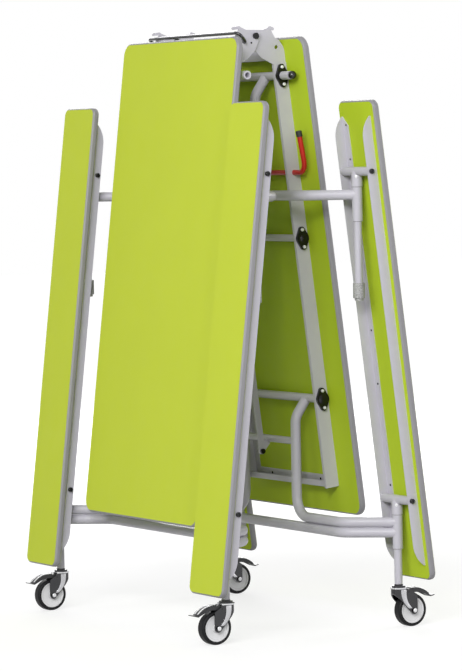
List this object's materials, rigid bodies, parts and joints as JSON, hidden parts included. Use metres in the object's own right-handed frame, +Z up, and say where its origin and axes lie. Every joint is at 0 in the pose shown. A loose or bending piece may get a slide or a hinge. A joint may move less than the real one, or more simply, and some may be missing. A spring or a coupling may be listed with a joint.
{
  "type": "mobile folding table with benches",
  "caption": "Mobile cafeteria table on locking casters, folded for storage: hinged top halves over parallelogram tube frames that carry bench seats along each side.",
  "frame": {"origin": "On the floor at the middle of the casters, under the centre hinge.", "axes": "+Z up, +X along the opened table towards the right half, +Y across it towards the back bench."},
  "size_m": [0.8412, 1.266, 1.8312],
  "materials": {
    "lime_laminate": "satin",
    "grey_edging": "matte",
    "frame_paint": "satin",
    "bearing_plastic": "matte",
    "bright_screws": "bright",
    "black_bolts": "satin",
    "bail_rod": "gloss",
    "red_lever": "gloss",
    "grip_plastic": "matte",
    "cap_plastic": "gloss",
    "glide_plastic": "matte",
    "caster_chrome": "polished",
    "wheel_centre": "satin",
    "tread": "matte",
    "pedal_steel": "satin"
  },
  "bodies": {
    "right_caster_support": {"right_caster_frame": "frame_paint", "right_caster_frame_bolts": "black_bolts"},
    "right_table": {"right_table_top": "lime_laminate", "right_table_edging": "grey_edging", "right_table_subframe": "frame_paint", "right_hinge_bracket": "frame_paint", "right_bearings": "bearing_plastic", "right_bearing_bolts": "bright_screws", "right_torsion_tube": "frame_paint", "hinge_bolts": "black_bolts"},
    "right_glide_support": {"right_glide_frame": "frame_paint", "right_glide_frame_bolts": "black_bolts", "right_glides": "glide_plastic", "right_axle_cap": "cap_plastic"},
    "right_link": {"right_link_bar": "frame_paint"},
    "right_front_bench": {"right_front_seat": "lime_laminate", "right_front_seat_edging": "grey_edging", "right_front_seat_rails": "frame_paint"},
    "right_front_caster_swivel": {"right_front_caster_fork": "caster_chrome"},
    "right_front_wheel": {"right_front_caster_hub": "wheel_centre", "right_front_caster_tyre": "tread"},
    "right_front_brake": {"right_front_caster_pedal": "pedal_steel"},
    "right_back_bench": {"right_back_seat": "lime_laminate", "right_back_seat_edging": "grey_edging", "right_back_seat_rails": "frame_paint"},
    "right_back_caster_swivel": {"right_back_caster_fork": "caster_chrome"},
    "right_back_wheel": {"right_back_caster_hub": "wheel_centre", "right_back_caster_tyre": "tread"},
    "right_back_brake": {"right_back_caster_pedal": "pedal_steel"},
    "left_caster_support": {"left_caster_frame": "frame_paint", "left_caster_frame_bolts": "black_bolts"},
    "left_table": {"left_table_top": "lime_laminate", "left_table_edging": "grey_edging", "left_table_subframe": "frame_paint", "left_hinge_bracket": "frame_paint", "left_bearings": "bearing_plastic", "left_bearing_bolts": "bright_screws", "left_torsion_tube": "frame_paint"},
    "left_glide_support": {"left_glide_frame": "frame_paint", "left_glide_frame_bolts": "black_bolts", "left_glides": "glide_plastic", "left_axle_cap": "cap_plastic"},
    "left_link": {"left_link_bar": "frame_paint"},
    "left_front_bench": {"left_front_seat": "lime_laminate", "left_front_seat_edging": "grey_edging", "left_front_seat_rails": "frame_paint"},
    "left_front_caster_swivel": {"left_front_caster_fork": "caster_chrome"},
    "left_front_wheel": {"left_front_caster_hub": "wheel_centre", "left_front_caster_tyre": "tread"},
    "left_front_brake": {"left_front_caster_pedal": "pedal_steel"},
    "left_back_bench": {"left_back_seat": "lime_laminate", "left_back_seat_edging": "grey_edging", "left_back_seat_rails": "frame_paint"},
    "left_back_caster_swivel": {"left_back_caster_fork": "caster_chrome"},
    "left_back_wheel": {"left_back_caster_hub": "wheel_centre", "left_back_caster_tyre": "tread"},
    "left_back_brake": {"left_back_caster_pedal": "pedal_steel"},
    "latch": {"latch_lever": "red_lever", "latch_lever_grip": "grip_plastic"},
    "bail": {"lock_bail": "bail_rod"}
  },
  "joints": [
    {"name": "fold", "type": "hinge", "parent": "right_caster_support", "child": "right_table", "pos_m": [0.21384, 0, 0.6846], "axis": [0, -1, 0], "range_deg": [0, 83], "stiffness_Nm_per_rad": 200, "springref_deg": -17.19},
    {"name": "centre_hinge", "type": "hinge", "parent": "right_table", "child": "left_table", "pos_m": [0, 0, 1.80177], "axis": [0, 1, 0], "range_deg": [0, 166]},
    {"name": "right_glide_support_pivot", "type": "hinge", "parent": "right_table", "child": "right_glide_support", "pos_m": [0.09153, 0, 1.68072], "axis": [0, -1, 0], "range_deg": [-83, 0]},
    {"name": "left_glide_support_pivot", "type": "hinge", "parent": "left_table", "child": "left_glide_support", "pos_m": [-0.09153, 0, 1.68072], "axis": [0, 1, 0], "range_deg": [-83, 0]},
    {"name": "left_caster_support_pivot", "type": "hinge", "parent": "left_table", "child": "left_caster_support", "pos_m": [-0.21384, 0, 0.6846], "axis": [0, 1, 0], "range_deg": [-83, 0]},
    {"name": "right_link_pivot", "type": "hinge", "parent": "right_caster_support", "child": "right_link", "pos_m": [0.14214, 0, 0.5131], "axis": [0, -1, 0], "range_deg": [0, 83]},
    {"name": "right_front_bench_pivot", "type": "hinge", "parent": "right_caster_support", "child": "right_front_bench", "pos_m": [0.30264, -0.533, 0.3891], "axis": [0, -1, 0], "range_deg": [0, 83]},
    {"name": "right_back_bench_pivot", "type": "hinge", "parent": "right_caster_support", "child": "right_back_bench", "pos_m": [0.30264, 0.533, 0.3891], "axis": [0, -1, 0], "range_deg": [0, 83]},
    {"name": "left_link_pivot", "type": "hinge", "parent": "left_caster_support", "child": "left_link", "pos_m": [-0.14214, 0, 0.5131], "axis": [0, 1, 0], "range_deg": [0, 83]},
    {"name": "left_front_bench_pivot", "type": "hinge", "parent": "left_caster_support", "child": "left_front_bench", "pos_m": [-0.30264, -0.533, 0.3891], "axis": [0, 1, 0], "range_deg": [0, 83]},
    {"name": "left_back_bench_pivot", "type": "hinge", "parent": "left_caster_support", "child": "left_back_bench", "pos_m": [-0.30264, 0.533, 0.3891], "axis": [0, 1, 0], "range_deg": [0, 83]},
    {"name": "right_front_swivel", "type": "hinge", "parent": "right_caster_support", "child": "right_front_caster_swivel", "pos_m": [0.30264, -0.53, 0.12], "axis": [0, 0, 1], "continuous": true},
    {"name": "right_front_roll", "type": "hinge", "parent": "right_front_caster_swivel", "child": "right_front_wheel", "pos_m": [0.34264, -0.53, 0.05], "axis": [0, 1, 0], "continuous": true},
    {"name": "right_front_brake_pedal", "type": "hinge", "parent": "right_front_caster_swivel", "child": "right_front_brake", "pos_m": [0.32664, -0.53, 0.107], "axis": [0, 1, 0], "range_deg": [0, 14]},
    {"name": "right_back_swivel", "type": "hinge", "parent": "right_caster_support", "child": "right_back_caster_swivel", "pos_m": [0.30264, 0.53, 0.12], "axis": [0, 0, 1], "continuous": true},
    {"name": "right_back_roll", "type": "hinge", "parent": "right_back_caster_swivel", "child": "right_back_wheel", "pos_m": [0.34264, 0.53, 0.05], "axis": [0, 1, 0], "continuous": true},
    {"name": "right_back_brake_pedal", "type": "hinge", "parent": "right_back_caster_swivel", "child": "right_back_brake", "pos_m": [0.32664, 0.53, 0.107], "axis": [0, 1, 0], "range_deg": [0, 14]},
    {"name": "left_front_swivel", "type": "hinge", "parent": "left_caster_support", "child": "left_front_caster_swivel", "pos_m": [-0.30264, -0.53, 0.12], "axis": [0, 0, 1], "continuous": true},
    {"name": "left_front_roll", "type": "hinge", "parent": "left_front_caster_swivel", "child": "left_front_wheel", "pos_m": [-0.34264, -0.53, 0.05], "axis": [0, 1, 0], "continuous": true},
    {"name": "left_front_brake_pedal", "type": "hinge", "parent": "left_front_caster_swivel", "child": "left_front_brake", "pos_m": [-0.32664, -0.53, 0.107], "axis": [0, -1, 0], "range_deg": [0, 14]},
    {"name": "left_back_swivel", "type": "hinge", "parent": "left_caster_support", "child": "left_back_caster_swivel", "pos_m": [-0.30264, 0.53, 0.12], "axis": [0, 0, 1], "continuous": true},
    {"name": "left_back_roll", "type": "hinge", "parent": "left_back_caster_swivel", "child": "left_back_wheel", "pos_m": [-0.34264, 0.53, 0.05], "axis": [0, 1, 0], "continuous": true},
    {"name": "left_back_brake_pedal", "type": "hinge", "parent": "left_back_caster_swivel", "child": "left_back_brake", "pos_m": [-0.32664, 0.53, 0.107], "axis": [0, -1, 0], "range_deg": [0, 14]},
    {"name": "latch_lever_pull", "type": "hinge", "parent": "right_table", "child": "latch", "pos_m": [0.13068, 0, 1.38408], "axis": [0, -1, 0], "range_deg": [0, 25], "stiffness_Nm_per_rad": 1, "springref_deg": -22.92},
    {"name": "lock_bail_swing", "type": "hinge", "parent": "left_table", "child": "bail", "pos_m": [-0.04138, 0, 1.78317], "axis": [0, -1, 0], "range_deg": [0, 18], "stiffness_Nm_per_rad": 1, "springref_deg": -22.92}
  ],
  "couplings": [
    {"joint": "centre_hinge", "follows": "fold", "ratio": 2},
    {"joint": "right_glide_support_pivot", "follows": "fold", "ratio": -1},
    {"joint": "left_glide_support_pivot", "follows": "fold", "ratio": -1},
    {"joint": "left_caster_support_pivot", "follows": "fold", "ratio": -1},
    {"joint": "right_link_pivot", "follows": "fold", "ratio": 1},
    {"joint": "right_front_bench_pivot", "follows": "fold", "ratio": 1},
    {"joint": "right_back_bench_pivot", "follows": "fold", "ratio": 1},
    {"joint": "left_link_pivot", "follows": "fold", "ratio": 1},
    {"joint": "left_front_bench_pivot", "follows": "fold", "ratio": 1},
    {"joint": "left_back_bench_pivot", "follows": "fold", "ratio": 1}
  ]
}
